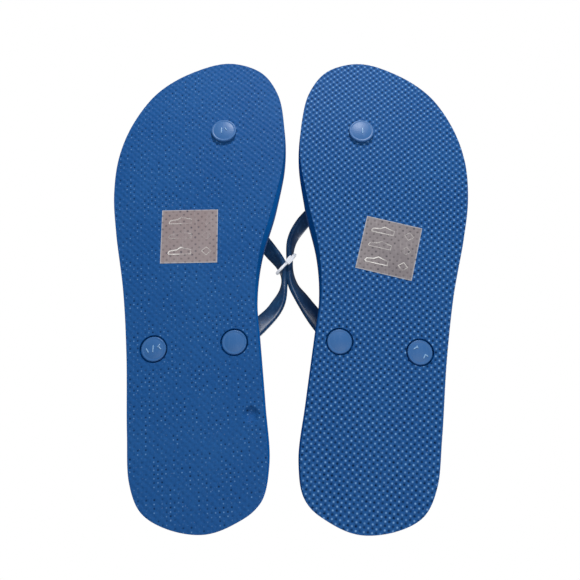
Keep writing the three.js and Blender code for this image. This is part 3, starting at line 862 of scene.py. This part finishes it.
def film_plastic(side):
    """Hazy film, clearer over the pits, in patches, with a painted highlight along its rim."""
    made, tree, shader, place = material(side + " label film")
    marks = node(tree, "Group", {
        "Vector": place, "Color": FILM_TINT[side], "Pale": FILM_PALE, "Amount": 0.5,
        "Specks": 0.2}, node_tree=handling_and_sheen)
    edge = node(tree, "Attribute", attribute_name="edge")
    # The rim gets a painted highlight.
    tree.links.new(mixed(tree, edge.outputs["Fac"], marks.outputs["Color"], FILM_RIM_HIGHLIGHT),
                   shader.inputs["Base Color"])
    rows = node(tree, "Group", {"Vector": row_places(tree, place, side), "Reach": 0.33}, node_tree=pit_rows)
    patches = node(tree, "TexNoise", {"Vector": place, "Scale": 160.0, "Detail": 2.0})
    touch = node(tree, "MapRange", {
        "Value": patches.outputs["Fac"], "From Min": 0.3, "From Max": 0.6, "To Min": 0.15, "To Max": 1.0})
    dots = node(tree, "Math", {0: rows.outputs["Pit"], 1: touch.outputs[0]}, operation="MULTIPLY")
    alpha = node(tree, "MapRange", {"Value": dots.outputs[0], "To Min": 0.95, "To Max": 0.1})
    tree.links.new(alpha.outputs[0], shader.inputs["Alpha"])
    rough = node(tree, "MapRange", {"Value": marks.outputs["Mask"], "To Min": 0.35, "To Max": 0.6})
    tree.links.new(rough.outputs[0], shader.inputs["Roughness"])
    bumped(tree, shader, patches.outputs["Fac"], strength=0.2, distance=0.0003)
    return made


silver, tree, shader, place = material("silver ink")
rubbed = node(tree, "TexNoise", {"Vector": place, "Scale": 420.0, "Detail": 3.0})
thin = node(tree, "MapRange", {
    "Value": rubbed.outputs["Fac"], "From Min": 0.35, "From Max": 0.6, "To Min": 0.7, "To Max": 1.0})
ink = node(tree, "Attribute", attribute_name="ink")
worn = node(tree, "TexNoise", {"Vector": place, "Scale": 130.0, "Detail": 1.0})
kept = node(tree, "MapRange", {
    "Value": worn.outputs["Fac"], "From Min": 0.42, "From Max": 0.55, "To Min": 0.25, "To Max": 1.0})
whole = node(tree, "Math", {0: thin.outputs[0], 1: kept.outputs[0]}, operation="MULTIPLY")
cover = node(tree, "Math", {0: whole.outputs[0], 1: ink.outputs["Fac"]}, operation="MULTIPLY")
tree.links.new(cover.outputs[0], shader.inputs["Alpha"])
tree.links.new(mixed(tree, rubbed.outputs["Fac"], SILVER_WARM, SILVER), shader.inputs["Base Color"])
shader.inputs["Roughness"].default_value = 0.35
for side in SHOES:
    label = solid(side + "_label_film", film(side))
    stand(label, side)
    coat(label, film_plastic(side))
    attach(label, side + "_shoe")
    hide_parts(side + "_label")
    figures, lozenges = INK[side]
    print_lines = joined(side + "_label_figures", [
        stroke(side, FIGURE, (FIGURE_X, row), ink) for row, ink in zip(ROWS_Y, figures)] + [
        stroke(side, LOZENGE, (LOZENGE_X, row), ink) for row, ink in zip(ROWS_Y, lozenges)])
    stand(print_lines, side)
    coat(print_lines, silver)
    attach(print_lines, side + "_shoe")

# ---- Tie ----------------------------------------------------------------------------------------
# A moulded nylon strand round both inner arms, closed by a small lock on its lowest run.

TIE_AT, TIE_TURN, TIE_LEAN = (3.2, 16.0, 43.3), -46, -13
TIE_HALF_WIDE, TIE_HALF_TALL, TIE_SQUARENESS = 8.2, 7.1, 4
STRAND_WIDE, STRAND_THICK, STRAND_SIDES, STRAND_STEPS = 0.85, 0.6, 20, 160
LOCK_SIZE, LOCK_ALONG, LOCK_EDGE = (4.8, 3.4, 2.9), 3, 0.5
NYLON, NYLON_DULL, NYLON_GLOW = (0.98, 0.97, 0.96, 1), (0.78, 0.78, 0.8, 1), (0.9, 0.95, 1.0, 1)
GLOW_STRENGTH = 0.22                     # stands for the light that milky nylon lets through
TIE_PLACE = (Matrix.Diagonal((MM, MM, MM, 1)) @ Matrix.Translation(TIE_AT)
             @ Matrix.Rotation(math.radians(TIE_LEAN), 4, "X")
             @ Matrix.Rotation(math.radians(TIE_TURN), 4, "Z"))


def strand_point(i, j):
    """A point of the closed strand: a flattened round section on a squarish ring."""
    angle = 2 * math.pi * j / STRAND_STEPS
    across, up = math.cos(angle), math.sin(angle)
    reach = (abs(across) ** TIE_SQUARENESS + abs(up) ** TIE_SQUARENESS) ** (-1 / TIE_SQUARENESS)
    centre = Vector((TIE_HALF_WIDE * reach * across, 0, TIE_HALF_TALL * reach * up))
    rounder = TIE_SQUARENESS - 1
    outward = Vector((across**rounder / TIE_HALF_WIDE, 0, up**rounder / TIE_HALF_TALL)).normalized()
    turn = 2 * math.pi * i / STRAND_SIDES
    return centre + outward * STRAND_THICK * math.cos(turn) + Vector((0, STRAND_WIDE * math.sin(turn), 0))


nylon, tree, shader, place = material("milky nylon")
cloud = node(tree, "TexNoise", {"Vector": place, "Scale": 350.0, "Detail": 4.0})
tree.links.new(mixed(tree, cloud.outputs["Fac"], NYLON, NYLON_DULL), shader.inputs["Base Color"])
shader.inputs["Emission Color"].default_value = NYLON_GLOW
shader.inputs["Emission Strength"].default_value = GLOW_STRENGTH
scratches = node(tree, "MapRange", {"Value": cloud.outputs["Fac"], "To Min": 0.25, "To Max": 0.5})
tree.links.new(scratches.outputs[0], shader.inputs["Roughness"])
bumped(tree, shader, cloud.outputs["Fac"], strength=0.3, distance=0.0002)

bm = rolled(STRAND_SIDES, STRAND_STEPS, strand_point)
bmesh.ops.remove_doubles(bm, verts=bm.verts, dist=1e-4)
strand = solid("tie_strand", bm)
strand.data.transform(TIE_PLACE)
soften(strand)
coat(strand, nylon)

bm = bmesh.new()
bmesh.ops.create_cube(bm, size=1)
bmesh.ops.scale(bm, vec=LOCK_SIZE, verts=bm.verts)
bmesh.ops.bevel(bm, geom=bm.edges[:], offset=LOCK_EDGE, offset_type="OFFSET", segments=4, profile=0.5,
                affect="EDGES", material=-1)
bmesh.ops.translate(bm, vec=(-LOCK_ALONG, 0, -TIE_HALF_TALL), verts=bm.verts)
lock = solid("tie_lock_block", bm)
lock.data.transform(TIE_PLACE)
soften(lock)
coat(lock, nylon)

fold_at = Vector(next(joint for joint in frame["joints"] if joint["name"] == "pair_fold")["pos_m"])
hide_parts("tie_loop")
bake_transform(strand)
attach(lock, "tie")
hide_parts("tie_lock")

# ---- Studio -------------------------------------------------------------------------------------
# A pale floor that fades out into plain white surroundings, and soft lamps above and below. The
# floor can't be seen from beneath and lets the lower lamps through. Sizes are in metres.

FLOOR_REACH, FLOOR_Z, FLOOR_FADE = 3, -0.0003, (0.3, 0.9)
FLOOR_PALE, FLOOR_DULL = (0.84, 0.84, 0.83, 1), (0.8, 0.8, 0.8, 1)
bm = bmesh.new()
bmesh.ops.create_grid(bm, x_segments=1, y_segments=1, size=FLOOR_REACH)
bmesh.ops.translate(bm, vec=(0, 0, FLOOR_Z), verts=bm.verts)
floor = solid("floor", bm)
paper, tree, shader, place = material("pale floor")
tone = node(tree, "TexNoise", {"Vector": place, "Scale": 3.0, "Detail": 2.0})
tree.links.new(mixed(tree, tone.outputs["Fac"], FLOOR_DULL, FLOOR_PALE), shader.inputs["Base Color"])
shader.inputs["Roughness"].default_value = 0.7
seen = node(tree, "LightPath").outputs["Is Camera Ray"]
beneath = node(tree, "NewGeometry").outputs["Backfacing"]
front = node(tree, "Math", {0: 1.0, 1: beneath}, operation="SUBTRACT")
away = node(tree, "VectorMath", {0: place}, operation="LENGTH").outputs["Value"]
near = node(tree, "MapRange", {
    "Value": away, "From Min": FLOOR_FADE[0], "From Max": FLOOR_FADE[1], "To Min": 1.0, "To Max": 0.0},
    interpolation_type="SMOOTHSTEP")
above = node(tree, "Math", {0: seen, 1: front.outputs[0]}, operation="MULTIPLY")
shown = node(tree, "Math", {0: above.outputs[0], 1: near.outputs[0]}, operation="MULTIPLY")
layer = node(tree, "MixShader", {
    0: shown.outputs[0], 1: node(tree, "BsdfTransparent").outputs[0], 2: shader.outputs[0]})
tree.links.new(layer.outputs[0], tree.nodes["Material Output"].inputs["Surface"])
floor.data.materials.append(paper)

AMBIENT, MIRRORED = 0.2, 0.12            # how bright the surroundings light things and look in gloss
world = bpy.data.worlds.new("studio")
world.use_nodes = True
bpy.context.scene.world = world
tree = world.node_tree
sky = tree.nodes["Background"]
sky.inputs["Color"].default_value = (1, 1, 1, 1)
rays = node(tree, "LightPath").outputs
unseen = node(tree, "MapRange", {
    "Value": rays["Is Glossy Ray"], "To Min": AMBIENT, "To Max": MIRRORED})
level = node(tree, "MapRange", {
    "Value": rays["Is Camera Ray"], "To Min": unseen.outputs[0], "To Max": 1.0})
tree.links.new(level.outputs[0], sky.inputs["Strength"])
bpy.context.scene.view_settings.view_transform = "Standard"

LAMPS = {
    # where the lamp is, its side and its power
    "low key": ((-0.06, 0.6, -0.4), 0.12, 3.9),
    "low fill": ((-0.15, -0.3, -0.7), 0.6, 2.8),
    "high key": ((-0.5, -0.4, 0.7), 0.5, 6.0),
    "high fill": ((0.6, 0.3, 0.6), 0.6, 1.6),
}
for name, (at, side_length, power) in LAMPS.items():
    lamp = bpy.data.lights.new(name, "AREA")
    lamp.size = side_length
    lamp.energy = power
    holder = bpy.data.objects.new(name, lamp)
    facing = Vector(at).to_track_quat("Z", "Y").to_matrix().to_4x4()
    holder.matrix_world = Matrix.Translation(at) @ facing
    holder.visible_camera = False
    holder.visible_glossy = name != "high fill"   # which would whiten the edges of the straps
    bpy.context.scene.collection.objects.link(holder)
